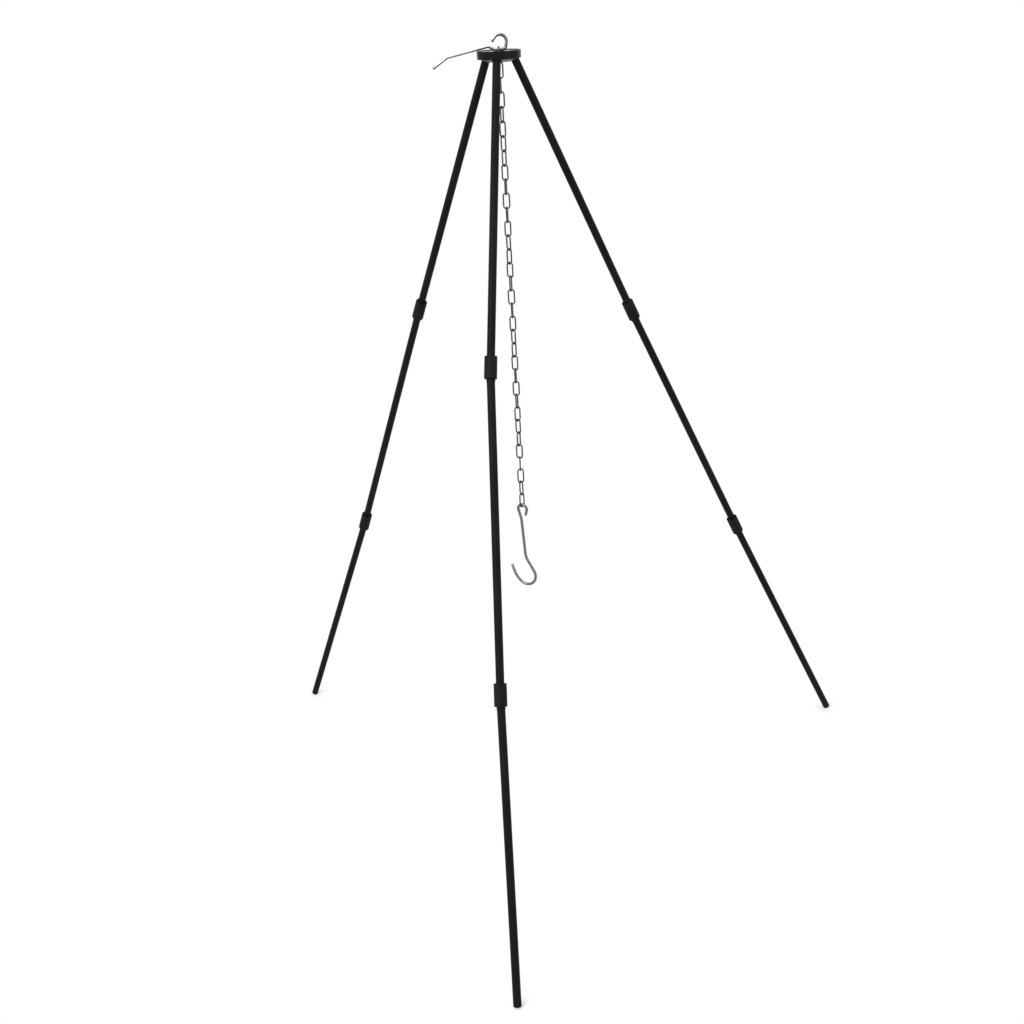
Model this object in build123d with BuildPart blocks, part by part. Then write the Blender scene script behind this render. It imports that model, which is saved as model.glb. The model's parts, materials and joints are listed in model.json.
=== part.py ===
from build123d import *
from math import cos, pi, radians, sin, sqrt, tan
import os

# Campfire tripod: three knock-down tube legs hinged under a round head, a link chain that
# hangs through the head from a bent wire lever, and a pot hook on the chain's last link.
# Millimetres, +Z up. The origin is on the ground, straight below the middle of the head.

os.makedirs("parts", exist_ok=True)

# ---------------------------------------------------------------- driving dimensions
# Stance
pivot_height = 1346.5  # ground to the legs' hinge pins
splay = 25.4  # degrees that each opened leg stands out of plumb
front_azimuth = -98.3  # degrees, where the front leg points; the others follow 120 apart
upper_run = 500.5  # hinge pin to the middle of the first socket
middle_run = 503.0  # middle of the first socket to the middle of the second
# Sections rattle in their sockets: how far each leg's upper, middle and lower tube leans,
# in degrees sideways and outwards.
section_leans = {
    "front": ((-0.5, -0.4), (2.2, -1.6), (3.3, -3.6)),
    "right": ((2.3, -0.2), (0.9, 0.3), (-1.8, 0.2)),
    "left": ((-4.0, 0.8), (-1.9, -1.3), (1.1, -1.4)),
}

# Leg tubes, sleeves and feet
tube_diameter = 13.0
tube_wall = 1.2
tube_edge = 0.4  # chamfer on the cut tube ends
foot_rounding = 3.5
foot_thickness = 5.0  # solid bottom of the closed foot
sleeve_wall = 3.1
sleeve_length = 35.5
sleeve_top_chamfer = 1.0
sleeve_mouth_chamfer = 2.0
crimp_depth = 0.7  # ring rolled into the sleeve to hold it on the tube above
crimp_width = 1.8
crimp_from_top = 5.0
fixed_clearance = 0.05  # sleeve on the tube it is crimped to, plug in a tube
socket_clearance = 0.55  # loose lower half of a sleeve round the tube below
end_gap = 0.5  # between two tube ends inside a sleeve
bead_height = 0.9  # rolled ring on the lower tube that stops under the sleeve
bead_length = 4.4
bead_gap = 0.7

# Head: pressed disc, slotted hub, pins and screws
head_diameter = 70.4
head_height = 12.8
head_wall = 1.8
lip_height = 1.2  # raised rim round the disc's top
plate_thickness = 1.8
chain_hole_diameter = 18.0
rim_corner = 1.0  # chamfer of the rim's lower edge
rim_edge = 0.5  # chamfer of its upper edge
hole_chamfer = 0.6
stop_gap = 0.2  # an opened leg leans on the rim's lower edge
hub_rim_gap = 3.4
hub_skirt = 4.6  # how far the hub's cone stands below the disc
hub_cone_diameter = 38.0
hub_bore_clearance = 3.5  # the hub's bore is this much wider all round than the disc's
hub_bore_chamfer = 1.5
slot_clearance = 1.1  # each side of a leg's tube
slot_end_gap = 0.5
pin_diameter = 4.0
pin_seat_length = 7.1  # each end of a pin in the hub
pin_seat_clearance = 0.02
pin_running_clearance = 0.1
eye_wall = 2.0
eye_clearance = 0.4  # each side of the eye in its slot
eye_headroom = 0.7  # between the eye and the disc
neck_length = 1.0  # between the eye and the collar that caps the tube
collar_thickness = 1.5
stem_length = 20.0
screw_circle_radius = 21.0
screw_diameter = 4.0
screw_head_diameter = 7.6
screw_length = 9.0
screw_clearance = 0.1
hex_socket = 2.5
hex_depth = 1.0

# Chain
link_count = 34
link_wire = 2.55
link_width = 12.5
link_pitch = 22.8
link_gap = 0.15  # between one link's wire and the next
wire_sides = 8  # round wire is simplified to eight flats
bend_corners = 6  # and each half-round end of a link to six mitred corners
twist_power = 1.2  # the hanging chain is twisted one turn, slowly at first
twist_turn_links = 29

# Lever: one bent wire, from the handle to the open hook. Heights are above a wire that lies
# on the rim. The arm's points are (distance out from the rim, height), the rest are in x.
lever_wire = 5.0
lever_seat_gap = 0.15
handle_end = (70.8, -25.5)
handle_bend = (47.3, -9.5)
lever_crest = (-19.7, 4.1)
saddle_start = -6.5
saddle_end = 10.6
lever_rise = (12.7, 8.3)
lever_bend_radii = (12.0, 7.0, 7.0, 4.5)
lever_hook_radius = 10.5
lever_hook_turn = 157.0
lever_hook_tip = 7.5

# Pot hook: points are (across, height below the eye's top)
hook_wire = 5.0
hook_azimuth = -30.0
hook_gap = 0.3  # between the last link and the hook's eye
eye_radius = 8.5
eye_tip_turn = 105.0  # degrees from the top of the eye down to its open end
eye_shank_turn = 110.0
eye_tip_length = 9.0
shank_top = (-3.2, -27.0)
shank_bend = (1.8, -100.5)
belly_start = (17.3, -125.5)
shank_bend_radii = (18.0, 24.5)
belly_radius = 18.5
belly_turn = 160.5
throat_radius = 42.5
throat_turn = 32.0
hook_tip_length = 12.0

# ---------------------------------------------------------------- derived places
tube_radius = tube_diameter / 2
bore_radius = tube_radius - tube_wall
engagement = sleeve_length / 2
half_grip = engagement / 2  # from a socket's middle to either tube end or sleeve mouth
socket_radius = tube_radius + socket_clearance
sleeve_radius = socket_radius + sleeve_wall

slot_width = tube_diameter + 2 * slot_clearance
pin_length = slot_width + 2 * pin_seat_length
eye_outer_radius = pin_diameter / 2 + eye_wall
eye_length = slot_width - 2 * eye_clearance
pivot_below_plate = eye_outer_radius + eye_headroom
collar_start = eye_outer_radius + neck_length  # from the hinge pin to the tube's collar

head_radius = head_diameter / 2
hub_bore_radius = chain_hole_diameter / 2 + hub_bore_clearance
ceiling = pivot_height + pivot_below_plate  # underside of the disc's top plate
plate_top = ceiling + plate_thickness
rim_top = plate_top + lip_height
rim_bottom = rim_top - head_height
rim_inner_radius = head_radius - head_wall
hub_radius = rim_inner_radius - hub_rim_gap
hub_bottom = rim_bottom - hub_skirt

# The pins sit where an opened leg just reaches the inside of the rim.
pivot_radius = (
    rim_inner_radius
    - stop_gap
    - tube_radius / cos(radians(splay))
    - (pivot_height - rim_bottom) * tan(radians(splay))
)
slot_inner_radius = pivot_radius - tube_radius - slot_end_gap
leg_azimuths = {name: front_azimuth + 120 * i for i, name in enumerate(section_leans)}

wire_turn = 180 / wire_sides  # a wire's flats face square to the plane that it is bent in
up = Vector(0, 0, 1)


def outward(azimuth):
    return Vector(cos(radians(azimuth)), sin(radians(azimuth)), 0)


def sideways(azimuth):
    return Vector(-sin(radians(azimuth)), cos(radians(azimuth)), 0)


def tube_direction(azimuth, lean):
    """Unit vector down a splayed tube that leans sideways and outwards."""
    aside, outwards = lean
    spread = radians(splay + outwards)
    flat = outward(azimuth) * sin(spread) - up * cos(spread)
    return flat * cos(radians(aside)) + sideways(azimuth) * sin(radians(aside))


def lower_run(start, along):
    """Length from a point down to a rounded foot end that just touches the ground."""
    steepness = -along.Z
    tilt = sqrt(1 - steepness**2)
    to_corner = start.Z - foot_rounding - (tube_radius - foot_rounding) * tilt
    return to_corner / steepness + foot_rounding


def profile_plane(start, along):
    """A plane whose x runs straight out from an axis and whose y runs along it."""
    out = along.cross(up).normalized()
    return Plane(origin=start, x_dir=out, z_dir=out.cross(along))


def add_bead(socket, along):
    """Rolled ring round the tube being built, just below the sleeve that it plugs into."""
    middle = socket + along * (half_grip + bead_gap + bead_length / 2)
    with BuildSketch(profile_plane(middle, along)) as bead:
        with BuildLine():
            Polyline(
                (tube_radius - tube_wall / 2, -bead_length / 2),
                (tube_radius, -bead_length / 2),
                (tube_radius + bead_height, -bead_length / 4),
                (tube_radius + bead_height, bead_length / 4),
                (tube_radius, bead_length / 2),
                (tube_radius - tube_wall / 2, bead_length / 2),
                close=True,
            )
        make_face()
    revolve(bead.sketch, axis=Axis(socket, along))


def pin_plane(azimuth, offset):
    """A plane square to a hinge pin, offset along it from the middle of the pin."""
    middle = outward(azimuth) * pivot_radius + up * pivot_height
    along = sideways(azimuth)
    return Plane(origin=middle + along * offset, x_dir=outward(azimuth), z_dir=along)


# ---------------------------------------------------------------- head disc
with BuildPart() as head_disc:
    with BuildSketch(Plane.XZ) as disc_profile:
        with BuildLine():
            Polyline(
                (chain_hole_diameter / 2, plate_top),
                (rim_inner_radius - lip_height, plate_top),
                (rim_inner_radius, rim_top),
                (head_radius, rim_top),
                (head_radius, rim_bottom),
                (rim_inner_radius, rim_bottom),
                (rim_inner_radius, ceiling),
                (chain_hole_diameter / 2, ceiling),
                close=True,
            )
        make_face()
        chamfer(disc_profile.vertices().group_by(Axis.X)[0].sort_by(Axis.Y)[-1], hole_chamfer)
        chamfer(disc_profile.vertices().group_by(Axis.X)[-1].sort_by(Axis.Y)[0], rim_corner)
        chamfer(disc_profile.vertices().group_by(Axis.X)[-1].sort_by(Axis.Y)[-1], rim_edge)
    revolve(axis=Axis.Z)
    with Locations(Plane.XY.offset(plate_top)):
        with PolarLocations(screw_circle_radius, 3, start_angle=front_azimuth + 60):
            CounterSinkHole(
                radius=screw_diameter / 2 + screw_clearance,
                counter_sink_radius=screw_head_diameter / 2 + screw_clearance,
                depth=plate_thickness,
                counter_sink_angle=90,
            )
head_disc.part.label = "head_disc"
export_step(head_disc.part, "parts/head_disc.step")

# ---------------------------------------------------------------- hub under the disc
with BuildPart() as hinge_hub:
    with BuildSketch(Plane.XZ):
        with BuildLine():
            Polyline(
                (hub_bore_radius, ceiling),
                (hub_radius, ceiling),
                (hub_radius, rim_bottom),
                (hub_cone_diameter / 2, hub_bottom),
                (hub_bore_radius, hub_bottom),
                close=True,
            )
        make_face()
    revolve(axis=Axis.Z)
    mouth = hinge_hub.edges().filter_by(GeomType.CIRCLE).group_by(Axis.Z)[0]
    chamfer(mouth.sort_by(SortBy.RADIUS)[0], length=hub_bore_chamfer)
    slot_length = hub_radius - slot_inner_radius + hub_rim_gap
    with BuildSketch(Plane.XY.offset(hub_bottom)):
        with PolarLocations(slot_inner_radius + slot_length / 2, 3, start_angle=front_azimuth):
            Rectangle(slot_length, slot_width)
    extrude(amount=ceiling - hub_bottom, mode=Mode.SUBTRACT)
    for azimuth in leg_azimuths.values():
        with BuildSketch(pin_plane(azimuth, -hub_radius)):
            Circle(pin_diameter / 2 + pin_seat_clearance)
        extrude(amount=2 * hub_radius, mode=Mode.SUBTRACT)
    with Locations(Plane.XY.offset(ceiling)):
        with PolarLocations(screw_circle_radius, 3, start_angle=front_azimuth + 60):
            Hole(screw_diameter / 2 + pin_seat_clearance, depth=screw_length)
hinge_hub.part.label = "hinge_hub"
export_step(hinge_hub.part, "parts/hinge_hub.step")

# ---------------------------------------------------------------- screws, disc to hub
with BuildPart() as hub_screws:
    with Locations(Plane.XY.offset(plate_top)):
        with PolarLocations(screw_circle_radius, 3, start_angle=front_azimuth + 60):
            Cone(
                bottom_radius=screw_diameter / 2,
                top_radius=screw_head_diameter / 2,
                height=(screw_head_diameter - screw_diameter) / 2,
                align=(Align.CENTER, Align.CENTER, Align.MAX),
            )
            Cylinder(
                radius=screw_diameter / 2,
                height=screw_length,
                align=(Align.CENTER, Align.CENTER, Align.MAX),
            )
    with BuildSketch(Plane.XY.offset(plate_top)):
        with PolarLocations(screw_circle_radius, 3, start_angle=front_azimuth + 60):
            RegularPolygon(hex_socket / 2, 6, major_radius=False)
    extrude(amount=-hex_depth, mode=Mode.SUBTRACT)
hub_screws.part.label = "hub_screws"
export_step(hub_screws.part, "parts/hub_screws.step")

# ---------------------------------------------------------------- hinge pins
with BuildPart() as hinge_pins:
    for azimuth in leg_azimuths.values():
        with BuildSketch(pin_plane(azimuth, -pin_length / 2)):
            Circle(pin_diameter / 2)
        extrude(amount=pin_length)
    chamfer(hinge_pins.edges().filter_by(GeomType.CIRCLE), length=0.4)
hinge_pins.part.label = "hinge_pins"
export_step(hinge_pins.part, "parts/hinge_pins.step")

# ---------------------------------------------------------------- legs
for leg, azimuth in leg_azimuths.items():
    upper_way, middle_way, lower_way = [
        tube_direction(azimuth, lean) for lean in section_leans[leg]
    ]
    pivot = outward(azimuth) * pivot_radius + up * pivot_height
    first_socket = pivot + upper_way * upper_run
    second_socket = first_socket + middle_way * middle_run
    foot_run = lower_run(second_socket, lower_way)

    # Turned eye that rides on the hinge pin and plugs the top of the leg
    with BuildPart() as leg_eye:
        with BuildSketch(pin_plane(azimuth, -eye_length / 2)):
            Circle(eye_outer_radius)
        extrude(amount=eye_length)
        with BuildSketch(Plane(origin=pivot, z_dir=upper_way)):
            Circle(eye_outer_radius)
        extrude(amount=collar_start)
        with BuildSketch(Plane(origin=pivot + upper_way * collar_start, z_dir=upper_way)):
            Circle(tube_radius)
        extrude(amount=collar_thickness)
        with BuildSketch(Plane(origin=pivot + upper_way * collar_start, z_dir=upper_way)):
            Circle(bore_radius - fixed_clearance)
        extrude(amount=collar_thickness + stem_length)
        with BuildSketch(pin_plane(azimuth, -eye_length / 2)):
            Circle(pin_diameter / 2 + pin_running_clearance)
        extrude(amount=eye_length, mode=Mode.SUBTRACT)
    leg_eye.part.label = f"leg_eye_{leg}"
    export_step(leg_eye.part, f"parts/leg_eye_{leg}.step")

    # Upper tube, from the eye's collar to the middle of the first sleeve
    tube_top = pivot + upper_way * (collar_start + collar_thickness)
    upper_end = first_socket - upper_way * half_grip
    with BuildPart() as upper_tube:
        with BuildSketch(Plane(origin=tube_top, z_dir=upper_way)):
            Circle(tube_radius)
            Circle(bore_radius, mode=Mode.SUBTRACT)
        extrude(amount=(upper_end - tube_top).length)
    upper_tube.part.label = f"upper_tube_{leg}"
    export_step(upper_tube.part, f"parts/upper_tube_{leg}.step")

    # Middle tube: plain at the bottom, with a stop bead under the sleeve above
    middle_top = first_socket - middle_way * (half_grip - end_gap)
    middle_end = second_socket - middle_way * half_grip
    with BuildPart() as middle_tube:
        with BuildSketch(Plane(origin=middle_top, z_dir=middle_way)):
            Circle(tube_radius)
        extrude(amount=(middle_end - middle_top).length)
        chamfer(middle_tube.edges().sort_by(Axis.Z)[-1], length=tube_edge)
        add_bead(first_socket, middle_way)
        with BuildSketch(Plane(origin=middle_top, z_dir=middle_way)):
            Circle(bore_radius)
        extrude(amount=(middle_end - middle_top).length, mode=Mode.SUBTRACT)
    middle_tube.part.label = f"middle_tube_{leg}"
    export_step(middle_tube.part, f"parts/middle_tube_{leg}.step")

    # Lower tube: stop bead at the top, closed and rounded at the foot
    lower_top = second_socket - lower_way * (half_grip - end_gap)
    lower_length = foot_run + half_grip - end_gap
    with BuildPart() as lower_tube:
        with BuildSketch(Plane(origin=lower_top, z_dir=lower_way)):
            Circle(tube_radius)
        extrude(amount=lower_length)
        chamfer(lower_tube.edges().sort_by(Axis.Z)[-1], length=tube_edge)
        fillet(lower_tube.edges().sort_by(Axis.Z)[0], radius=foot_rounding)
        add_bead(second_socket, lower_way)
        with BuildSketch(Plane(origin=lower_top, z_dir=lower_way)):
            Circle(bore_radius)
        extrude(amount=lower_length - foot_thickness, mode=Mode.SUBTRACT)
    lower_tube.part.label = f"lower_tube_{leg}"
    export_step(lower_tube.part, f"parts/lower_tube_{leg}.step")

    # Sleeves: crimped on the tube above, a loose socket for the tube below
    for place, joint, along in (
        ("upper", upper_end, upper_way),
        ("lower", middle_end, middle_way),
    ):
        sleeve_top = joint - along * (sleeve_length - engagement)
        with BuildPart() as sleeve:
            with BuildSketch(profile_plane(sleeve_top, along)) as wall:
                with BuildLine():
                    Polyline(
                        (tube_radius + fixed_clearance, 0),
                        (sleeve_radius, 0),
                        (sleeve_radius, sleeve_length),
                        (socket_radius, sleeve_length),
                        (socket_radius, sleeve_length - engagement),
                        (tube_radius + fixed_clearance, sleeve_length - engagement),
                        close=True,
                    )
                make_face()
                outer = wall.vertices().group_by(Axis.X)[-1].sort_by(Axis.Y)
                chamfer(outer[0], sleeve_top_chamfer)
                outer = wall.vertices().group_by(Axis.X)[-1].sort_by(Axis.Y)
                chamfer(outer[-1], sleeve_mouth_chamfer)
            revolve(axis=Axis(sleeve_top, along))
            with BuildSketch(profile_plane(sleeve_top + along * crimp_from_top, along)):
                with BuildLine():
                    Polyline(
                        (sleeve_radius - crimp_depth, 0),
                        (sleeve_radius + crimp_depth, crimp_width),
                        (sleeve_radius + crimp_depth, -crimp_width),
                        close=True,
                    )
                make_face()
            revolve(axis=Axis(sleeve_top, along), mode=Mode.SUBTRACT)
        sleeve.part.label = f"{place}_sleeve_{leg}"
        export_step(sleeve.part, f"parts/{place}_sleeve_{leg}.step")

# ---------------------------------------------------------------- chain lever
lever_height = plate_top + lever_wire / 2 + lever_seat_gap
on_rim = rim_top + lever_wire / 2
rise_height = on_rim + lever_rise[1]
with BuildPart() as chain_lever:
    with BuildLine(Plane.XZ) as lever_path:
        arm = FilletPolyline(
            (-head_radius - handle_end[0], on_rim + handle_end[1]),
            (-head_radius - handle_bend[0], on_rim + handle_bend[1]),
            (-head_radius - lever_crest[0], on_rim + lever_crest[1]),
            (saddle_start, lever_height),
            (saddle_end, lever_height),
            (lever_rise[0], rise_height),
            radius=lever_bend_radii,
        )
        hook_arc = JernArc(
            start=(lever_rise[0], rise_height),
            tangent=(lever_rise[0] - saddle_end, rise_height - lever_height),
            radius=lever_hook_radius,
            arc_size=lever_hook_turn,
        )
        Line(hook_arc @ 1, hook_arc @ 1 + (hook_arc % 1) * lever_hook_tip)
    with BuildSketch(Plane(origin=arm @ 0, x_dir=(0, 1, 0), z_dir=arm % 0)):
        RegularPolygon(lever_wire / 2, wire_sides, major_radius=False, rotation=wire_turn)
    sweep(path=lever_path.wires()[0])
chain_lever.part.label = "chain_lever"
export_step(chain_lever.part, "parts/chain_lever.step")

# ---------------------------------------------------------------- chain
link_bend = (link_width - link_wire) / 2  # radius of the wire's centre line
link_length = link_pitch + link_wire + link_gap  # centre line, end to end
link_straight = link_length - 2 * link_bend
first_link_top = lever_height + (lever_wire + link_wire) / 2 + link_gap


def link_azimuth(number):
    """Direction of a link's flat plane: a quarter turn each, plus the chain's twist."""
    turned = max(number - 2, 0) / twist_turn_links
    return 90 * number + 360 * turned**twist_power


def link_plane(number):
    """Plane of a link's centre line: x across the link, y up, origin at its middle."""
    middle = first_link_top - link_length / 2 - (number - 1) * link_pitch
    across = outward(link_azimuth(number))
    return Plane(origin=up * middle, x_dir=across, z_dir=across.cross(up))


def bend_corner(index):
    """A corner of a link's upper bend, from 0 on the +x side to the last on the -x side."""
    turn = pi / bend_corners
    angle = turn * (index + 0.5)
    reach = link_bend / cos(turn / 2)  # the mitred runs touch the round centre line
    return (reach * cos(angle), link_straight / 2 + reach * sin(angle))


for number in range(1, link_count + 1):
    plane = link_plane(number)
    with BuildPart() as chain_link:
        with BuildLine(plane) as upper_half:
            Polyline(
                (link_bend, 0),
                *[bend_corner(index) for index in range(bend_corners)],
                (-link_bend, 0),
            )
        with BuildSketch(Plane(plane.origin, x_dir=plane.x_dir, z_dir=up)) as wire_section:
            with Locations((link_bend, 0)):
                RegularPolygon(link_wire / 2, wire_sides, major_radius=False, rotation=wire_turn)
        sweep(wire_section.sketch, path=upper_half.wires()[0], transition=Transition.RIGHT)
        mirror(about=Plane(plane.origin, z_dir=up))
    chain_link.part.label = f"chain_link_{number:02d}"
    export_step(chain_link.part, f"parts/chain_link_{number:02d}.step")

# ---------------------------------------------------------------- pot hook
last_link_bottom = first_link_top - link_length - (link_count - 1) * link_pitch
eye_top = last_link_bottom + (link_wire + hook_wire) / 2 + hook_gap
hook_across = outward(hook_azimuth)
hook_plane = Plane(origin=up * eye_top, x_dir=hook_across, z_dir=hook_across.cross(up))
with BuildPart() as pot_hook:
    with BuildLine(hook_plane) as hook_path:
        CenterArc(
            (0, -eye_radius), eye_radius, 90 - eye_tip_turn, eye_tip_turn + eye_shank_turn
        )
        PolarLine(
            (
                eye_radius * sin(radians(eye_tip_turn)),
                -eye_radius + eye_radius * cos(radians(eye_tip_turn)),
            ),
            eye_tip_length,
            -eye_tip_turn,
        )
        shank = FilletPolyline(
            (
                -eye_radius * sin(radians(eye_shank_turn)),
                -eye_radius + eye_radius * cos(radians(eye_shank_turn)),
            ),
            shank_top,
            shank_bend,
            belly_start,
            radius=shank_bend_radii,
        )
        belly = JernArc(shank @ 1, shank % 1, belly_radius, -belly_turn)
        throat = JernArc(belly @ 1, belly % 1, throat_radius, -throat_turn)
        Line(throat @ 1, throat @ 1 + (throat % 1) * hook_tip_length)
    wire = hook_path.wires()[0]
    with BuildSketch(Plane(origin=wire @ 0, x_dir=hook_plane.z_dir, z_dir=wire % 0)):
        RegularPolygon(hook_wire / 2, wire_sides, major_radius=False, rotation=wire_turn)
    sweep(path=wire)
pot_hook.part.label = "pot_hook"
export_step(pot_hook.part, "parts/pot_hook.step")
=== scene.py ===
import json
import math

import bmesh
import bpy
import numpy as np
from mathutils import Matrix, Vector


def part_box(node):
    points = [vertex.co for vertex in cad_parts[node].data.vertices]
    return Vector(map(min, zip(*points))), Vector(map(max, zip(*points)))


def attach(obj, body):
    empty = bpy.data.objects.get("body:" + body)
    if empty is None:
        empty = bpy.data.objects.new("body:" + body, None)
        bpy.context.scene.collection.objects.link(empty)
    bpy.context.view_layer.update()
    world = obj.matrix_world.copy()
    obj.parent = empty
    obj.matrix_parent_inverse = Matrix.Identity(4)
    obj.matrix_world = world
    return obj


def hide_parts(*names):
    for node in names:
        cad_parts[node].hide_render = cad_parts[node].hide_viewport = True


# Campfire tripod: the looks of every piece, the studio and the camera. Metres, +Z up, in the
# CAD model's own frame. Outlines and wire paths are given in millimetres and scaled by MM, and
# angles in degrees.

MM = 0.001
MICRON = 0.000001
UP = Vector((0, 0, 1))
LEGS = ("front", "right", "left")
FRONT_AZIMUTH = -98.3  # where the front leg points; the others follow 120 apart

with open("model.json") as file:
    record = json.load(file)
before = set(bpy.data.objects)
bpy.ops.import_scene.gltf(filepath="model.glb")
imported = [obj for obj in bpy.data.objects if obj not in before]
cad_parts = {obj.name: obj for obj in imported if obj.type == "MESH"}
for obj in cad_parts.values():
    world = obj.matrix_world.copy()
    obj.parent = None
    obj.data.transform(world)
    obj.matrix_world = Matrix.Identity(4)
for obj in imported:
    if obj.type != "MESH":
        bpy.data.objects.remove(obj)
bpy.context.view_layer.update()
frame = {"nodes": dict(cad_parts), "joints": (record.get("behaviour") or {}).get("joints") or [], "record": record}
nodes = frame["nodes"]
joints = {joint["name"]: joint for joint in frame["joints"]}
body_of = {
    node: body
    for body, members in frame["record"]["behaviour"]["bodies"].items()
    for node in members
}


# ---------------------------------------------------------------- camera
CAMERA_DISTANCE = 2.3445
CAMERA_HEIGHT = 1.4772
CAMERA_PAN = 0.461
CAMERA_DOWN = 21.098
CAMERA_ROLL = -3.141
LENS = 49.70
SENSOR = 36.0
VIEW_DEPTH = 200.0


def make_camera():
    """A camera in front of the tripod, above it, looking down and rolled a little."""
    data = bpy.data.cameras.new("camera")
    data.lens = LENS
    data.sensor_width = SENSOR
    data.clip_end = VIEW_DEPTH
    camera = bpy.data.objects.new("camera", data)
    bpy.context.scene.collection.objects.link(camera)
    facing = Matrix.Rotation(math.radians(CAMERA_PAN), 4, "Z")
    tipped = Matrix.Rotation(math.radians(90 - CAMERA_DOWN), 4, "X")
    rolled = Matrix.Rotation(math.radians(CAMERA_ROLL), 4, "Z")
    place = Matrix.Translation((0, -CAMERA_DISTANCE, CAMERA_HEIGHT))
    camera.matrix_world = place @ facing @ tipped @ rolled
    bpy.context.scene.camera = camera


# ---------------------------------------------------------------- shader nodes
def map_range(tree, value, inputs=(0.0, 1.0), outputs=(0.0, 1.0)):
    """Spreads a value between the inputs over the outputs, and holds it at their ends."""
    spread = tree.nodes.new("ShaderNodeMapRange")
    spread.inputs["From Min"].default_value, spread.inputs["From Max"].default_value = inputs
    spread.inputs["To Min"].default_value, spread.inputs["To Max"].default_value = outputs
    tree.links.new(value, spread.inputs["Value"])
    return spread.outputs["Result"]


def pick(tree, extreme, values):
    """The MAXIMUM or the MINIMUM of several values."""
    picked = values[0]
    for value in values[1:]:
        choice = tree.nodes.new("ShaderNodeMath")
        choice.operation = extreme
        tree.links.new(picked, choice.inputs[0])
        tree.links.new(value, choice.inputs[1])
        picked = choice.outputs[0]
    return picked


class Surface:
    """A Principled material, with the node helpers that the finishes share."""

    def __init__(self, name, metallic, specular=0.5):
        self.material = bpy.data.materials.new(name)
        self.material.use_nodes = True
        self.tree = self.material.node_tree
        self.shader = self.tree.nodes["Principled BSDF"]
        self.shader.inputs["Metallic"].default_value = metallic
        self.shader.inputs["Specular IOR Level"].default_value = specular
        coordinates = self.tree.nodes.new("ShaderNodeTexCoord")
        self.place = coordinates.outputs["Object"]
        self.normal = coordinates.outputs["Normal"]

    def noise(self, per_metre, detail, roughness=0.5, scale=(1, 1, 1)):
        """Noise of that many cells a metre, scaled further along the object's axes."""
        mapping = self.tree.nodes.new("ShaderNodeMapping")
        mapping.inputs["Scale"].default_value = scale
        self.tree.links.new(self.place, mapping.inputs["Vector"])
        noise = self.tree.nodes.new("ShaderNodeTexNoise")
        noise.inputs["Scale"].default_value = per_metre
        noise.inputs["Detail"].default_value = detail
        noise.inputs["Roughness"].default_value = roughness
        self.tree.links.new(mapping.outputs["Vector"], noise.inputs["Vector"])
        return noise.outputs["Fac"]

    def ramp(self, value, stops):
        """A colour ramp; stops are (position, grey or colour)."""
        ramp = self.tree.nodes.new("ShaderNodeValToRGB")
        elements = ramp.color_ramp.elements
        while len(elements) < len(stops):
            elements.new(0.5)  # anywhere, because the loop below places them all
        for element, (position, tone) in zip(elements, stops):
            element.position = position
            rgb = tone if isinstance(tone, tuple) else (tone, tone, tone)
            element.color = (*rgb, 1)
        self.tree.links.new(value, ramp.inputs["Fac"])
        return ramp.outputs["Color"]

    def mottle(self, dark, light, per_metre, detail, roughness=0.5, reach=(0.3, 0.7)):
        """Two tones in patches; noise below the reach is dark, and above it light."""
        patches = self.noise(per_metre, detail, roughness)
        return self.ramp(patches, [(reach[0], dark), (reach[1], light)])

    def combine(self, how, first, second):
        """A node that mixes or multiplies two colours, by the share in its factor."""
        mix = self.tree.nodes.new("ShaderNodeMix")
        mix.data_type = "RGBA"
        mix.blend_type = how
        self.tree.links.new(first, mix.inputs["A"])
        self.tree.links.new(second, mix.inputs["B"])
        return mix

    def multiply(self, first, second, share=1.0):
        mix = self.combine("MULTIPLY", first, second)
        mix.inputs["Factor"].default_value = share
        return mix.outputs["Result"]

    def mix(self, factor, first, second):
        mix = self.combine("MIX", first, second)
        self.tree.links.new(factor, mix.inputs["Factor"])
        return mix.outputs["Result"]

    def bump(self, height, depth, strength=1.0):
        """Adds a bump of that depth in metres on top of the bumps added before."""
        bump = self.tree.nodes.new("ShaderNodeBump")
        bump.inputs["Distance"].default_value = depth
        bump.inputs["Strength"].default_value = strength
        self.tree.links.new(height, bump.inputs["Height"])
        normal = self.shader.inputs["Normal"]
        if normal.is_linked:
            self.tree.links.new(normal.links[0].from_socket, bump.inputs["Normal"])
        self.tree.links.new(bump.outputs["Normal"], normal)

    def facing(self, direction):
        """How far the surface faces a direction of the object: 0 away, 1 straight towards it."""
        turn = self.tree.nodes.new("ShaderNodeVectorMath")
        turn.operation = "DOT_PRODUCT"
        turn.inputs[1].default_value = direction
        self.tree.links.new(self.normal, turn.inputs[0])
        return map_range(self.tree, turn.outputs["Value"], inputs=(-1.0, 1.0))

    def along(self, start, end):
        """The place along the object's X, from 0 at start to 1 at end, in metres."""
        parts = self.tree.nodes.new("ShaderNodeSeparateXYZ")
        self.tree.links.new(self.place, parts.inputs["Vector"])
        return map_range(self.tree, parts.outputs["X"], inputs=(start, end))

    def color(self, color):
        self.tree.links.new(color, self.shader.inputs["Base Color"])

    def roughness(self, value, smoothest, roughest):
        """Roughness between two numbers, as the value goes from 0 to 1."""
        spread = map_range(self.tree, value, outputs=(smoothest, roughest))
        self.tree.links.new(spread, self.shader.inputs["Roughness"])


# ---------------------------------------------------------------- finishes
# The lever is clean on its handle, turns brown between these two places along X, in metres,
# towards its open hook, and has painted shade on the side that faces down, darker the more it
# faces that way. The shade stops are (how far that side is faced, share of the brightness left).
BROWNED_FROM = -0.012
BROWNED_TO = 0.006
PAINTED_SHADE_SIDE = (0.35, 0.0, -0.94)
PAINTED_SHADE_STOPS = [(0.1, 1.0), (0.35, 0.8), (0.5, 0.58), (0.68, 0.26), (0.9, 0.09)]


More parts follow.
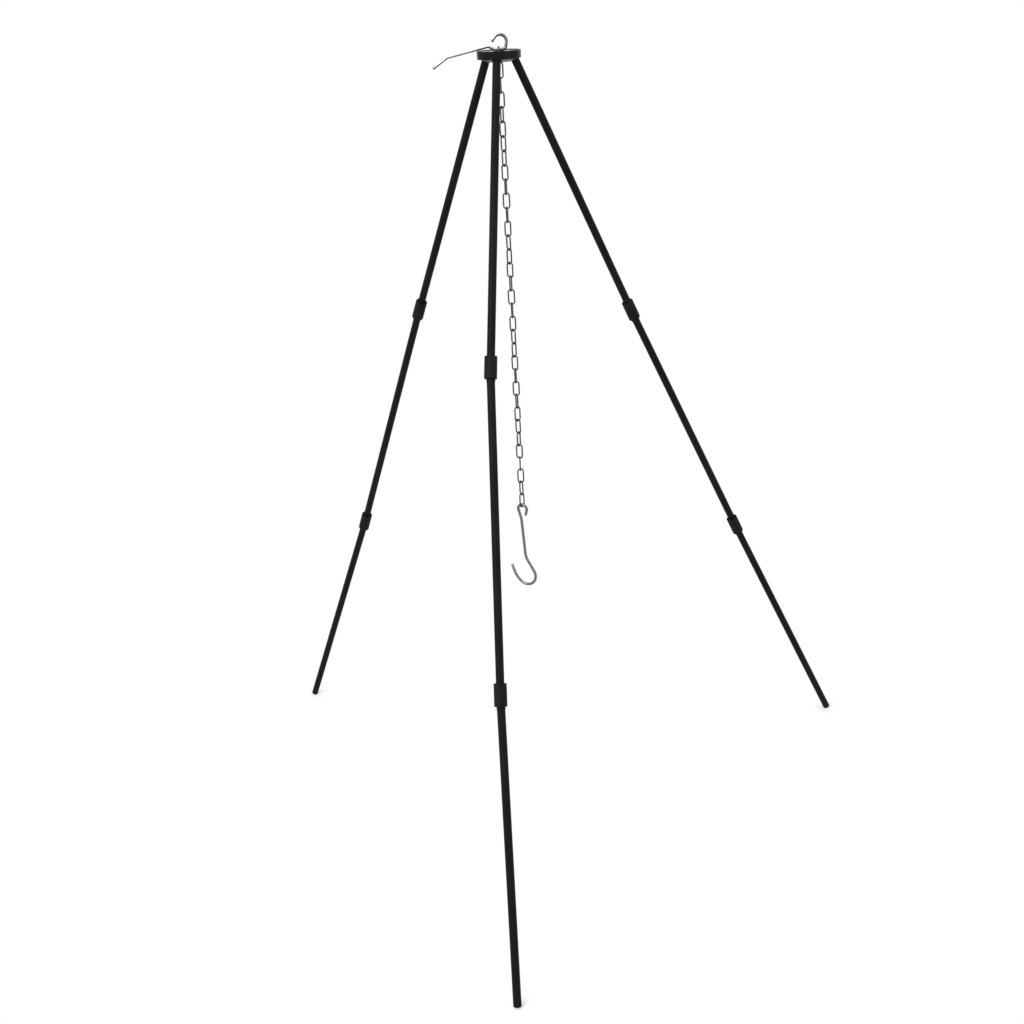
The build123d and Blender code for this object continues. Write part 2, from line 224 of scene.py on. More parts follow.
def enamel(name, dark, light, roughness, peel, specular):
    """Baked enamel: slow tone drift, small rubs, orange peel and dust nibs."""
    finish = Surface(name, metallic=0.0, specular=specular)
    finish.color(finish.mottle(dark, light, per_metre=14, detail=4, reach=(0.3, 0.75)))
    rubs = finish.mottle(0.0, 1.0, per_metre=90, detail=6, roughness=0.7, reach=(0.45, 0.7))
    finish.roughness(rubs, smoothest=roughness - 0.06, roughest=roughness + 0.12)
    finish.bump(finish.noise(per_metre=900, detail=2), depth=peel)
    nibs = finish.mottle(0.0, 1.0, per_metre=2600, detail=1, reach=(0.68, 0.8))
    finish.bump(nibs, depth=30 * MICRON, strength=0.5)
    return finish.material


def rubbery_coat(name, dark, light):
    """Matte dipped coat on the sleeves: fine grain with a few burnished patches."""
    finish = Surface(name, metallic=0.0, specular=0.09)
    finish.color(finish.mottle(dark, light, per_metre=60, detail=5, reach=(0.3, 0.8)))
    finish.roughness(finish.noise(per_metre=160, detail=5), smoothest=0.5, roughest=0.72)
    finish.bump(finish.noise(per_metre=3200, detail=3), depth=60 * MICRON, strength=0.7)
    return finish.material


def plated(name, dark, light, roughness):
    """Plated wire: mottled tone, spangle, fine marks left by drawing the wire."""
    finish = Surface(name, metallic=1.0)
    cloudy = finish.mottle(dark, light, per_metre=220, detail=5, roughness=0.6)
    spots = finish.mottle(0.62, 1.0, per_metre=1500, detail=2, reach=(0.35, 0.55))
    finish.color(finish.multiply(cloudy, spots, share=0.6))
    wear = finish.noise(per_metre=500, detail=4)
    finish.roughness(wear, smoothest=roughness - 0.08, roughest=roughness + 0.14)
    finish.bump(finish.noise(per_metre=2500, detail=3), depth=20 * MICRON)
    return finish.material


def nickel_with_painted_shade(name, clean, brown):
    """The lever's bright plating: clean on top, painted shade underneath, browned at the open hook."""
    finish = Surface(name, metallic=1.0)
    bright = finish.mottle(*clean, per_metre=200, detail=4)
    heated = finish.mottle(*brown, per_metre=260, detail=5)
    plating = finish.mix(finish.along(BROWNED_FROM, BROWNED_TO), bright, heated)
    # painted shade: the plating is darkened the more its surface faces down, standing in for shade
    painted_shade = finish.ramp(finish.facing(PAINTED_SHADE_SIDE), PAINTED_SHADE_STOPS)
    finish.color(finish.multiply(plating, painted_shade))
    finish.roughness(finish.noise(per_metre=500, detail=4), smoothest=0.2, roughest=0.42)
    finish.bump(finish.noise(per_metre=2500, detail=3), depth=10 * MICRON)
    return finish.material


def cast_metal(name, dark, light):
    """Die-cast zinc with its fine skin and faint flow marks."""
    finish = Surface(name, metallic=0.85)
    finish.color(finish.mottle(dark, light, per_metre=50, detail=6))
    finish.roughness(finish.noise(per_metre=300, detail=4), smoothest=0.42, roughest=0.62)
    finish.bump(finish.noise(per_metre=1800, detail=4), depth=50 * MICRON, strength=0.8)
    return finish.material


def turned_metal(name, dark, light):
    """Turned steel: fine rings from the tool, light oil tone."""
    finish = Surface(name, metallic=1.0)
    finish.color(finish.mottle(dark, light, per_metre=80, detail=4))
    finish.roughness(finish.noise(per_metre=400, detail=3), smoothest=0.25, roughest=0.42)
    rings = finish.noise(per_metre=600, detail=2, scale=(1, 1, 6))
    finish.bump(rings, depth=20 * MICRON)
    return finish.material


MATERIALS = {
    "black_paint": enamel(
        "black_paint",
        dark=(0.0045, 0.0048, 0.0048),
        light=(0.0080, 0.0086, 0.0085),
        roughness=0.5,
        peel=30 * MICRON,
        specular=0.07,
    ),
    "head_black": enamel(
        "head_black",
        dark=(0.0040, 0.0040, 0.0040),
        light=(0.0075, 0.0072, 0.0072),
        roughness=0.2,
        peel=10 * MICRON,
        specular=0.1,
    ),
    "screw_black": enamel(
        "screw_black",
        dark=(0.010, 0.010, 0.011),
        light=(0.024, 0.024, 0.024),
        roughness=0.4,
        peel=20 * MICRON,
        specular=0.3,
    ),
    "sleeve_black": rubbery_coat(
        "sleeve_black",
        dark=(0.006, 0.006, 0.0065),
        light=(0.0105, 0.0105, 0.011),
    ),
    "cast_zinc": cast_metal(
        "cast_zinc",
        dark=(0.12, 0.10, 0.108),
        light=(0.21, 0.18, 0.193),
    ),
    "turned_steel": turned_metal(
        "turned_steel",
        dark=(0.40, 0.40, 0.39),
        light=(0.56, 0.56, 0.55),
    ),
    "lever_nickel": nickel_with_painted_shade(
        "lever_nickel",
        clean=((0.76, 0.78, 0.77), (0.86, 0.88, 0.87)),
        brown=((0.20, 0.18, 0.165), (0.34, 0.315, 0.295)),
    ),
    "chain_zinc": plated(
        "chain_zinc",
        dark=(0.052, 0.052, 0.052),
        light=(0.115, 0.115, 0.113),
        roughness=0.36,
    ),
    "hook_zinc": plated(
        "hook_zinc",
        dark=(0.14, 0.145, 0.135),
        light=(0.22, 0.225, 0.21),
        roughness=0.36,
    ),
}


# ---------------------------------------------------------------- meshes
NODE_EDGE_ANGLE = 32  # between two faces, from which their edge stays sharp
PIECE_EDGE_ANGLE = 50
CORNER_STEPS = 6  # in the arc that rounds a corner of an outline
ON_AXIS = 1e-6  # mm; an outline's point nearer the axis than this is a tip


def paint_nodes():
    """Every CAD node takes its slot's finish, also those that a finer piece replaces."""
    for part in frame["record"]["subparts"]:
        mesh = nodes[part["node"]].data
        mesh.materials.clear()
        mesh.materials.append(MATERIALS[part["material_slot"]])
        mesh.shade_smooth()
        mesh.set_sharp_from_angle(angle=math.radians(NODE_EDGE_ANGLE))


def add_piece(name, mesh, node, slot):
    """A new smooth piece that stands for a CAD node and moves with its body."""
    mesh.name = name
    mesh.materials.append(MATERIALS[slot])
    mesh.shade_smooth()
    mesh.set_sharp_from_angle(angle=math.radians(PIECE_EDGE_ANGLE))
    piece = bpy.data.objects.new(name, mesh)
    bpy.context.scene.collection.objects.link(piece)
    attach(piece, body_of[node])
    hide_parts(node)
    return piece


def skin(rings, closed):
    """A mesh over rings of points, each joined to the next, with its faces turned outwards.

    Closed, the last ring is joined to the first; open, the two end rings are capped. A ring of
    one point is a tip.
    """
    vertices = [tuple(point) for ring in rings for point in ring]
    numbers = iter(range(len(vertices)))
    numbered = [[next(numbers) for _ in ring] for ring in rings]
    following = numbered[1:] + numbered[:1] if closed else numbered[1:]
    faces = []
    for ring, after in zip(numbered, following):
        sides = max(len(ring), len(after))
        if sides == 1:
            continue  # two tips have only the axis between them
        for k in range(sides):
            here = [ring[k % len(ring)], ring[(k + 1) % len(ring)]]
            there = [after[(k + 1) % len(after)], after[k % len(after)]]
            faces.append(list(dict.fromkeys(here + there)))
    if not closed:
        faces += [numbered[0], numbered[-1]]
    mesh = bpy.data.meshes.new("skin")
    mesh.from_pydata(vertices, [], faces)
    mesh.validate()
    shape = bmesh.new()
    shape.from_mesh(mesh)
    bmesh.ops.recalc_face_normals(shape, faces=shape.faces)
    shape.to_mesh(mesh)
    shape.free()
    return mesh


def circle(centre, across, other, radius, sides):
    """The points of a circle in the plane of two directions; the radius is in mm."""
    turns = [2 * math.pi * k / sides for k in range(sides)]
    rays = [across * math.cos(turn) + other * math.sin(turn) for turn in turns]
    return [centre + ray * (radius * MM) for ray in rays]


def revolve(outline, start, way, sides):
    """Turns a closed outline (radius, height in mm) about the axis from start along way."""
    across = way.orthogonal().normalized()
    other = way.cross(across)
    rings = []
    for radius, height in outline:
        centre = start + way * (height * MM)
        tip = radius < ON_AXIS
        rings.append([centre] if tip else circle(centre, across, other, radius, sides))
    return skin(rings, closed=True)


def rounded(corners):
    """The closed outline through corners (radius, height, rounding), with arcs at them."""
    outline = []
    for i, (radius, height, rounding) in enumerate(corners):
        corner = Vector((radius, height))
        if not rounding:
            outline.append(corner)
            continue
        before = (Vector(corners[i - 1][:2]) - corner).normalized()
        after = (Vector(corners[(i + 1) % len(corners)][:2]) - corner).normalized()
        half = before.angle(after) / 2
        centre = corner + (before + after).normalized() * (rounding / math.sin(half))
        first = corner + before * (rounding / math.tan(half)) - centre
        last = corner + after * (rounding / math.tan(half)) - centre
        for k in range(CORNER_STEPS + 1):
            outline.append(centre + first.slerp(last, k / CORNER_STEPS) * rounding)
    return outline


def span(node, way=None):
    """(top, way down, length in mm) of a straight turned node, from its mesh."""
    points = np.array([tuple(vertex.co) for vertex in nodes[node].data.vertices])
    points = np.unique(points.round(6), axis=0)  # a point that faces share counts once
    middle = points.mean(axis=0)
    if way is None:
        # the direction in which the points spread most, turned to lead down
        longest = np.linalg.svd(points - middle, full_matrices=False)[2][0]
        way = Vector(longest * -np.sign(longest[2]))
    heights = (points - middle) @ np.array(way)
    top = Vector(middle) + way * heights.min()
    return top, way, float(np.ptp(heights)) / MM


# ---------------------------------------------------------------- legs
TUBE_RADIUS = 6.5
TUBE_WALL = 1.2
TUBE_SIDES = 64
BORE_RADIUS = TUBE_RADIUS - TUBE_WALL
BEAD_HEIGHT = 0.6
BEAD_LENGTH = 4.4
FOOT_THICKNESS = 5.0
# roundings of a tube: its ends, the bead's root and crown, the closed foot
TOP_EDGE = 0.4
END_EDGE = 0.3
BORE_EDGE = 0.15
BEAD_ROOT = 0.5
BEAD_CROWN = 1.0
FOOT_ROUNDING = 2.2
CAD_FOOT_ROUNDING = 3.5  # sets how low a leaning foot reaches
FOOT_BORE_EDGE = 0.5

SLEEVE_LENGTH = 35.5
SLEEVE_RADIUS = 10.15
SLEEVE_SIDES = 96
SLEEVE_GRIP = 0.05  # gap round the tube above, which the crimp holds
SLEEVE_PLAY = 0.55  # gap round the tube below, which slides in
CRIMP_DEPTH = 0.2
CRIMP_WIDTH = 2.6
CRIMP_FROM_TOP = 5.0
END_GAP = 0.5  # between the two tube ends inside a sleeve
BEAD_GAP = 0.7  # from the sleeve's mouth to the bead
BEAD_START = SLEEVE_LENGTH / 2 - END_GAP + BEAD_GAP  # from the tube's top end to the bead
# roundings of a sleeve: its ends outside and in the bores, the crimp's shoulders and root
SLEEVE_TOP_EDGE = 1.0
SLEEVE_MOUTH = 1.3
GRIP_EDGE = 0.3
SOCKET_EDGE = 0.5
CRIMP_SHOULDER = 2.6
CRIMP_ROOT = 2.4


def tube_outline(length, bead, closed_foot):
    """A tube's wall from its top, down the outside and back up the bore."""
    corners = [(BORE_RADIUS, 0, BORE_EDGE), (TUBE_RADIUS, 0, TOP_EDGE)]
    if bead:
        end = BEAD_START + BEAD_LENGTH
        slope = BEAD_LENGTH / 4
        corners += [
            (TUBE_RADIUS, BEAD_START, BEAD_ROOT),
            (TUBE_RADIUS + BEAD_HEIGHT, BEAD_START + slope, BEAD_CROWN),
            (TUBE_RADIUS + BEAD_HEIGHT, end - slope, BEAD_CROWN),
            (TUBE_RADIUS, end, BEAD_ROOT),
        ]
    if closed_foot:
        inside = length - FOOT_THICKNESS
        corners += [(TUBE_RADIUS, length, FOOT_ROUNDING), (0, length, 0)]
        corners += [(0, inside, 0), (BORE_RADIUS, inside, FOOT_BORE_EDGE)]
    else:
        corners += [(TUBE_RADIUS, length, END_EDGE), (BORE_RADIUS, length, BORE_EDGE)]
    return rounded(corners)


def sleeve_outline(length):
    """Sleeve wall from the top: grip bore, crimped outside, rounded mouth, loose socket."""
    grip = TUBE_RADIUS + SLEEVE_GRIP
    socket = TUBE_RADIUS + SLEEVE_PLAY
    groove = CRIMP_WIDTH / 2
    return rounded(
        [
            (grip, 0, GRIP_EDGE),
            (SLEEVE_RADIUS, 0, SLEEVE_TOP_EDGE),
            (SLEEVE_RADIUS, CRIMP_FROM_TOP - groove, CRIMP_SHOULDER),
            (SLEEVE_RADIUS - CRIMP_DEPTH, CRIMP_FROM_TOP, CRIMP_ROOT),
            (SLEEVE_RADIUS, CRIMP_FROM_TOP + groove, CRIMP_SHOULDER),
            (SLEEVE_RADIUS, length, SLEEVE_MOUTH),
            (socket, length, SOCKET_EDGE),
            (socket, length / 2, 0),
            (grip, length / 2, 0),
        ]
    )


def standing_length(length, way):
    """The length at which a squarer foot stands on the same floor as the CAD one."""
    upright = -way.z
    leaning = math.sqrt(1 - upright**2)
    squarer = CAD_FOOT_ROUNDING - FOOT_ROUNDING
    return length - squarer * (leaning + upright - 1) / upright


def dress_tube(section, leg):
    """Adds a leg's upper, middle or lower tube, and gives the way down it."""
    node = f"{section}_tube_{leg}"
    top, way, length = span(node)
    lowest = section == "lower"
    if lowest:
        length = standing_length(length, way)
    outline = tube_outline(length, bead=section != "upper", closed_foot=lowest)
    mesh = revolve(outline, top, way, TUBE_SIDES)
    add_piece(f"{node}_enamelled", mesh, node, "black_paint")
    return way


def dress_sleeve(sleeve, leg, way):
    """Adds a leg's upper or lower sleeve, along the way given."""
    node = f"{sleeve}_sleeve_{leg}"
    top, way, length = span(node, way)
    mesh = revolve(sleeve_outline(length), top, way, SLEEVE_SIDES)
    add_piece(f"{node}_coated", mesh, node, "sleeve_black")


def dress_legs():
    """Adds every tube and sleeve; a sleeve is in line with the tube above it."""
    for leg in LEGS:
        ways = {section: dress_tube(section, leg) for section in ("upper", "middle", "lower")}
        dress_sleeve("upper", leg, ways["upper"])
        dress_sleeve("lower", leg, ways["middle"])


# ---------------------------------------------------------------- chain
LINK_WIRE = 2.55
LINK_WIDTH = 12.5
LINK_SIDES = 20
LINK_BEND_STEPS = 14
WELD_SWELL = 0.09  # share of the wire's radius that the butt weld stands proud
WELD_HALF = 1.5
# (place along the weld in halves of its length, share of the swell there)
WELD_PROFILE = ((-1.0, 0.0), (-0.5, 0.6), (0.0, 1.0), (0.5, 0.6), (1.0, 0.0))


def link_stations(length):
    """Round a link's centre line: (across, up, outward direction, radius), in mm."""
    wire = LINK_WIRE / 2
    bend = (LINK_WIDTH - LINK_WIRE) / 2
    straight = length / 2 - wire - bend
    stations = [
        (bend, place * WELD_HALF, (1, 0), wire * (1 + WELD_SWELL * share))
        for place, share in WELD_PROFILE
    ]
    for side, turn_from in ((1, 0), (-1, math.pi)):
        for k in range(LINK_BEND_STEPS + 1):
            turn = turn_from + math.pi * k / LINK_BEND_STEPS
            out = (math.cos(turn), math.sin(turn))
            stations.append((bend * out[0], side * straight + bend * out[1], out, wire))
    return stations


def link_mesh(low, high, across):
    """A link that hangs between two heights, in metres, in the plane of across and up."""
    flat = across.cross(UP)
    middle = Vector((0, 0, (low + high) / 2))
    rings = []
    for x, height, out, radius in link_stations((high - low) / MM):
        centre = middle + across * (x * MM) + UP * (height * MM)
        outward = across * out[0] + UP * out[1]
        rings.append(circle(centre, outward, flat, radius, LINK_SIDES))
    return skin(rings, closed=True)


def dress_chain():
    """Adds the links. A link lies along the axis about which the piece below it swings."""
    count = sum(node.startswith("chain_link_") for node in nodes)
    for number in range(1, count + 1):
        node = f"chain_link_{number:02d}"
        low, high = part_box(node)
        follower = f"link_{number + 1:02d}_swing" if number < count else "pot_hook_swing"
        across = Vector(joints[follower]["axis"]).normalized()
        add_piece(f"{node}_wire", link_mesh(low.z, high.z, across), node, "chain_zinc")


# ---------------------------------------------------------------- bent wires
ARC_STEP = 6.0  # from one ring of a bend to the next
ROUND_SIDES = 24
END_CHAMFER = 0.8
END_RINGS = 4


class WirePath:
    """The centre line of a bent wire in its own flat plane: runs and bends, in mm."""

    def __init__(self, start, heading):
        self.points = [Vector(start)]
        self.heading = Vector(heading).normalized()

    def run(self, length):
        self.points.append(self.points[-1] + self.heading * length)

    def bend(self, radius, turn):
        """Goes on round an arc; a positive turn is to the left."""
        inward = Vector((-self.heading.y, self.heading.x)) * math.copysign(1, turn)
        centre = self.points[-1] + inward * radius
        steps = max(2, round(abs(turn) / ARC_STEP))
        for k in range(1, steps + 1):
            turned_by = Matrix.Rotation(math.radians(turn * k / steps), 2)
            self.points.append(centre - turned_by @ inward * radius)
        self.heading = Matrix.Rotation(math.radians(turn), 2) @ self.heading

    def through(self, corners, radii):
        """Runs on through corners, rounded by the radii, to the last of them."""
        corners = [self.points[-1]] + [Vector(corner) for corner in corners]
        rounded_off = 0.0
        for before, corner, after, radius in zip(corners, corners[1:], corners[2:], radii):
            self.heading = (corner - before).normalized()
            ahead = (after - corner).normalized()
            cross = self.heading.x * ahead.y - self.heading.y * ahead.x
            turn = math.atan2(cross, self.heading.dot(ahead))
            reach = radius * math.tan(abs(turn) / 2)
            self.run((corner - before).length - rounded_off - reach)
            self.bend(radius, math.degrees(turn))
            rounded_off = reach
        self.heading = (corners[-1] - corners[-2]).normalized()
        self.run((corners[-1] - corners[-2]).length - rounded_off)


def wire_rings(points, radius):
    """(centre, heading, radius) of the rings down a wire whose two cut ends are chamfered."""
    rings = []
    for i, point in enumerate(points):
        before = point - points[i - 1] if i else Vector((0, 0))
        after = points[i + 1] - point if i + 1 < len(points) else Vector((0, 0))
        heading = (before.normalized() + after.normalized()).normalized()
        rings.append((point, heading, radius))
    first, setting_out, _ = rings[0]
    last, arriving, _ = rings[-1]
    start, end = [], []
    for k in range(END_RINGS):
        share = math.sin(math.pi / 2 * k / END_RINGS)
        inset = END_CHAMFER * share
        ring_radius = radius - END_CHAMFER * (1 - share)
        start.append((first + setting_out * inset, setting_out, ring_radius))
        end.append((last - arriving * inset, arriving, ring_radius))
    return start + rings[1:-1] + end[::-1]


def bent_wire(path, origin, across, diameter):
    """A round wire along a flat path, whose x runs across and whose y runs up."""
    flat = across.cross(UP)
    rings = []
    for point, heading, radius in wire_rings(path.points, diameter / 2):
        centre = origin + (across * point.x + UP * point.y) * MM
        outward = -across * heading.y + UP * heading.x
        rings.append(circle(centre, outward, flat, radius, ROUND_SIDES))
    return skin(rings, closed=False)


# ---------------------------------------------------------------- head disc
LIP_HEIGHT = 1.2
PLATE_THICKNESS = 1.8
RIM_WALL = 1.8
CHAIN_HOLE_RADIUS = 9.0
DISC_SIDES = 144
SCREW_CIRCLE_RADIUS = 21.0
SCREW_AZIMUTHS = [FRONT_AZIMUTH + 60 + 120 * k for k in range(3)]  # halfway between the legs
SCREW_HOLE_RADIUS = 2.1
SCREW_SINK_RADIUS = 3.9
SCREW_HOLE_SIDES = 48
# roundings of the disc, in the order of its outline
RIM_INNER_EDGE = 0.2
RIM_FOOT = 1.5
RIM_TOP = 0.8
RIM_LIP = 0.5
DISH_CORNER = 0.7
HOLE_TOP = 0.6
HOLE_UNDERSIDE = 0.2
CEILING_CORNER = 0.9


def disc_outline(radius, height):
    """The pressed disc's wall, from the rim's lower edge up: rounded rim, recessed top."""
    inner = radius - RIM_WALL
    plate_top = height - LIP_HEIGHT
    ceiling = plate_top - PLATE_THICKNESS
    return rounded(
        [
            (inner, 0, RIM_INNER_EDGE),
            (radius, 0, RIM_FOOT),
            (radius, height, RIM_TOP),
            (inner, height, RIM_LIP),
            (inner - LIP_HEIGHT, plate_top, DISH_CORNER),
            (CHAIN_HOLE_RADIUS, plate_top, HOLE_TOP),
            (CHAIN_HOLE_RADIUS, ceiling, HOLE_UNDERSIDE),
            (inner, ceiling, CEILING_CORNER),
        ]
    )


def screw_hole(azimuth, plate_top):
    """A cutter for one countersunk hole, open above the plate and below it."""
    above, below = 2 * LIP_HEIGHT, 2 * PLATE_THICKNESS
    sink = SCREW_SINK_RADIUS - SCREW_HOLE_RADIUS
    outline = [
        (0, above),
        (SCREW_SINK_RADIUS, above),
        (SCREW_SINK_RADIUS, 0),
        (SCREW_HOLE_RADIUS, -sink),
        (SCREW_HOLE_RADIUS, -below),
        (0, -below),
    ]
    turn = math.radians(azimuth)
    centre = Vector((math.cos(turn), math.sin(turn), 0)) * (SCREW_CIRCLE_RADIUS * MM)
    centre.z = plate_top
    cutter = bpy.data.objects.new("screw_hole", revolve(outline, centre, UP, SCREW_HOLE_SIDES))
    bpy.context.scene.collection.objects.link(cutter)
    return cutter


def dress_disc():
    """Adds the disc, cuts its screw holes and keeps its flat faces evenly lit."""
    low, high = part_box("head_disc")
    outline = disc_outline(high.x / MM, (high.z - low.z) / MM)
    mesh = revolve(outline, Vector((0, 0, low.z)), UP, DISC_SIDES)
    disc = add_piece("head_disc_pressed", mesh, "head_disc", "head_black")
    holes = [screw_hole(azimuth, high.z - LIP_HEIGHT * MM) for azimuth in SCREW_AZIMUTHS]
    for hole in holes:
        cut = disc.modifiers.new("hole", "BOOLEAN")
        cut.operation = "DIFFERENCE"
        cut.solver = "EXACT"
        cut.object = hole
    even = disc.modifiers.new("even", "WEIGHTED_NORMAL")
    even.keep_sharp = True
    shaped = disc.evaluated_get(bpy.context.evaluated_depsgraph_get())
    disc.data = bpy.data.meshes.new_from_object(shaped)
    disc.modifiers.clear()
    for hole in holes:
        bpy.data.objects.remove(hole)


# ---------------------------------------------------------------- lever
# Heights are above the middle of a wire that lies on the rim. The arm's points are (distance
# out from the rim, height). The saddle's ends, and the rise's first number, are places along X.
LEVER_WIRE = 5.0
LEVER_SEAT_GAP = 0.15
HANDLE_END = (70.8, -25.5)
HANDLE_BEND = (47.3, -9.5)
LEVER_CREST = (-19.7, 4.1)
SADDLE_START = -6.5
SADDLE_END = 10.6
LEVER_RISE = (12.7, 8.3)
LEVER_BEND_RADII = (12.0, 7.0, 7.0, 4.5)
LEVER_HOOK_RADIUS = 10.5
LEVER_HOOK_TURN = 157.0
LEVER_HOOK_TIP = 7.5


def dress_lever():
    """Adds the lever: its handle, the arm over the rim, the saddle on the disc, the hook."""
    disc_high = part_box("head_disc")[1]
    rim = disc_high.x / MM
    on_rim = LEVER_WIRE / 2
    on_plate = LEVER_WIRE / 2 + LEVER_SEAT_GAP - LIP_HEIGHT
    corners = [
        (-rim - HANDLE_BEND[0], on_rim + HANDLE_BEND[1]),
        (-rim - LEVER_CREST[0], on_rim + LEVER_CREST[1]),
        (SADDLE_START, on_plate),
        (SADDLE_END, on_plate),
        (LEVER_RISE[0], on_rim + LEVER_RISE[1]),
    ]
    path = WirePath(start=(-rim - HANDLE_END[0], on_rim + HANDLE_END[1]), heading=(1, 0))
    path.through(corners, LEVER_BEND_RADII)
    path.bend(LEVER_HOOK_RADIUS, LEVER_HOOK_TURN)
    path.run(LEVER_HOOK_TIP)
    rim_top = Vector((0, 0, disc_high.z))
    mesh = bent_wire(path, rim_top, Vector((1, 0, 0)), LEVER_WIRE)
    add_piece("chain_lever_wire", mesh, "chain_lever", "lever_nickel")


# ---------------------------------------------------------------- pot hook
# Points are (across, height from the middle of the wire at the eye's top).
HOOK_WIRE = 5.0
HOOK_AZIMUTH = -30.0
EYE_RADIUS = 8.5
EYE_TIP_TURN = 105.0
EYE_SHANK_TURN = 110.0
EYE_TIP_LENGTH = 9.0
SHANK_TOP = (-3.2, -27.0)
SHANK_BEND = (1.8, -100.5)
BELLY_START = (17.3, -125.5)
SHANK_BEND_RADII = (18.0, 24.5)
BELLY_RADIUS = 18.5
BELLY_TURN = 160.5
THROAT_RADIUS = 42.5
THROAT_TURN = 32.0
HOOK_TIP_LENGTH = 12.0


def dress_pot_hook():
    """Adds the pot hook: from the eye's open end round it, down the shank, round the bowl."""
    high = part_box("pot_hook")[1]
    eye_top = Vector((0, 0, high.z - HOOK_WIRE / 2 * MM))
    open_end = math.radians(90 - EYE_TIP_TURN)
    upwards = Vector((-math.sin(open_end), math.cos(open_end)))
    eye_start = Vector((math.cos(open_end), math.sin(open_end) - 1)) * EYE_RADIUS
    path = WirePath(start=eye_start - upwards * EYE_TIP_LENGTH, heading=upwards)
    path.run(EYE_TIP_LENGTH)
    path.bend(EYE_RADIUS, EYE_TIP_TURN + EYE_SHANK_TURN)
    path.through([SHANK_TOP, SHANK_BEND, BELLY_START], SHANK_BEND_RADII)
    path.bend(BELLY_RADIUS, -BELLY_TURN)
    path.bend(THROAT_RADIUS, -THROAT_TURN)
    path.run(HOOK_TIP_LENGTH)
    azimuth = math.radians(HOOK_AZIMUTH)
    across = Vector((math.cos(azimuth), math.sin(azimuth), 0))
    mesh = bent_wire(path, eye_top, across, HOOK_WIRE)
    add_piece("pot_hook_wire", mesh, "pot_hook", "hook_zinc")


# ---------------------------------------------------------------- studio
FLOOR_SIZE = 60.0
FLOOR_SHADE = 0.8
FLOOR_GLOW = 0.33  # lifts the lit floor, where the camera sees it near a foot, to just white
SHADOW_FULL = 0.008  # metres round a foot where its shadow is kept whole
SHADOW_GONE = 0.032
WORLD_LIGHT = 0.3
DIRECT_RAYS = ("Is Camera Ray", "Is Glossy Ray", "Is Transmission Ray")


def seen_directly(tree):
    """1 on camera, glossy and transmission rays, 0 on the rays that light the object."""
    path = tree.nodes.new("ShaderNodeLightPath")
    return pick(tree, "MAXIMUM", [path.outputs[ray] for ray in DIRECT_RAYS])


def foot_distance(tree):
    """How far a point of the floor lies from the nearest foot."""
    place = tree.nodes.new("ShaderNodeTexCoord").outputs["Object"]
    distances = []
    for leg in LEGS:
        top, way, length = span(f"lower_tube_{leg}")
        spot = tree.nodes.new("ShaderNodeVectorMath")
        spot.operation = "DISTANCE"
        spot.inputs[1].default_value = top + way * (length * MM)
        tree.links.new(place, spot.inputs[0])
        distances.append(spot.outputs["Value"])
    return pick(tree, "MINIMUM", distances)


def mix_shaders(tree, factor, first, second):
    mix = tree.nodes.new("ShaderNodeMixShader")
    tree.links.new(factor, mix.inputs["Fac"])
    tree.links.new(first.outputs[0], mix.inputs[1])
    tree.links.new(second.outputs[0], mix.inputs[2])
    return mix


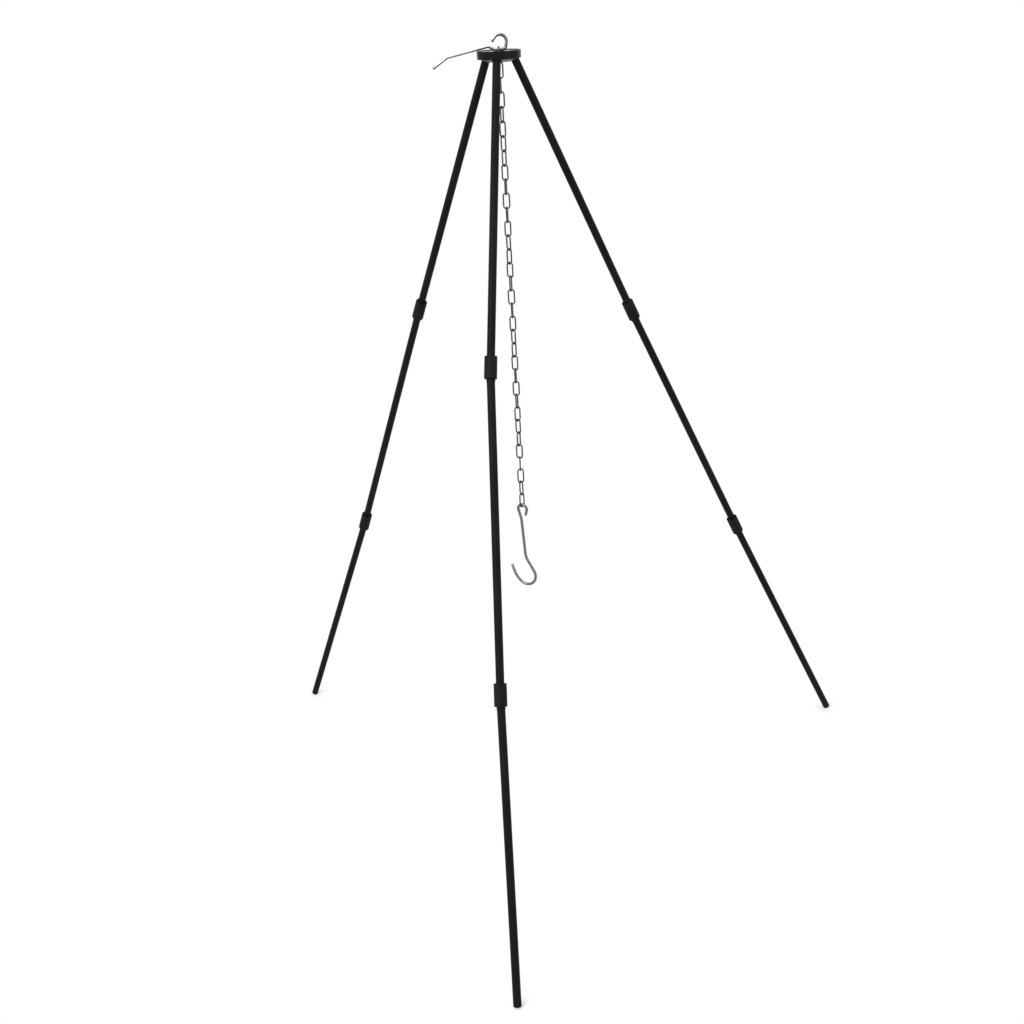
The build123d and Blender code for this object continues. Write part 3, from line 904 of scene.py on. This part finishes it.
def floor_material():
    """A pale lit floor that looks white where it is seen, and keeps the feet's shadows."""
    material = bpy.data.materials.new("floor_white")
    material.use_nodes = True
    tree = material.node_tree
    tree.nodes.clear()
    output = tree.nodes.new("ShaderNodeOutputMaterial")
    lit = tree.nodes.new("ShaderNodeBsdfDiffuse")
    lit.inputs["Color"].default_value = (FLOOR_SHADE, FLOOR_SHADE, FLOOR_SHADE, 1)
    glow = tree.nodes.new("ShaderNodeEmission")
    glow.inputs["Strength"].default_value = FLOOR_GLOW
    white = tree.nodes.new("ShaderNodeEmission")
    near = tree.nodes.new("ShaderNodeAddShader")
    tree.links.new(lit.outputs[0], near.inputs[0])
    tree.links.new(glow.outputs[0], near.inputs[1])
    away = map_range(tree, foot_distance(tree), inputs=(SHADOW_FULL, SHADOW_GONE))
    seen = mix_shaders(tree, away, near, white)
    floor = mix_shaders(tree, seen_directly(tree), lit, seen)
    tree.links.new(floor.outputs[0], output.inputs["Surface"])
    return material


def make_floor():
    half = FLOOR_SIZE / 2
    corners = [(-half, -half, 0), (half, -half, 0), (half, half, 0), (-half, half, 0)]
    mesh = bpy.data.meshes.new("floor")
    mesh.from_pydata(corners, [], [(0, 1, 2, 3)])
    mesh.materials.append(floor_material())
    floor = bpy.data.objects.new("floor", mesh)
    bpy.context.scene.collection.objects.link(floor)


def make_world():
    """A pale world that lights the object softly, and looks white where it is seen."""
    world = bpy.data.worlds.new("studio")
    world.use_nodes = True
    tree = world.node_tree
    background = tree.nodes["Background"]
    strength = map_range(tree, seen_directly(tree), outputs=(WORLD_LIGHT, 1.0))
    tree.links.new(strength, background.inputs["Strength"])
    background.inputs["Color"].default_value = (1, 1, 1, 1)
    bpy.context.scene.world = world


def add_softbox(name, place, target, width, height, watts):
    """A rectangular lamp at a place, aimed at its target."""
    data = bpy.data.lights.new(name, "AREA")
    data.shape = "RECTANGLE"
    data.size = width
    data.size_y = height
    data.energy = watts
    lamp = bpy.data.objects.new(name, data)
    lamp.location = place
    aim = Vector(target) - Vector(place)
    lamp.rotation_euler = aim.to_track_quat("-Z", "Y").to_euler()
    bpy.context.scene.collection.objects.link(lamp)


def make_lights():
    add_softbox(
        "key", place=(-2.2, -2.8, 2.8), target=(0, 0, 0.7), width=1.4, height=2.2, watts=115
    )
    add_softbox(
        "fill", place=(2.6, -2.2, 2.2), target=(0, 0, 0.6), width=1.6, height=2.2, watts=30
    )
    add_softbox("top", place=(0, 0.6, 4.0), target=(0, 0, 0), width=3.0, height=3.0, watts=40)


make_camera()
paint_nodes()
dress_legs()
dress_chain()
dress_lever()
dress_pot_hook()
dress_disc()
make_floor()
make_world()
make_lights()
bpy.context.scene.view_settings.view_transform = "Standard"
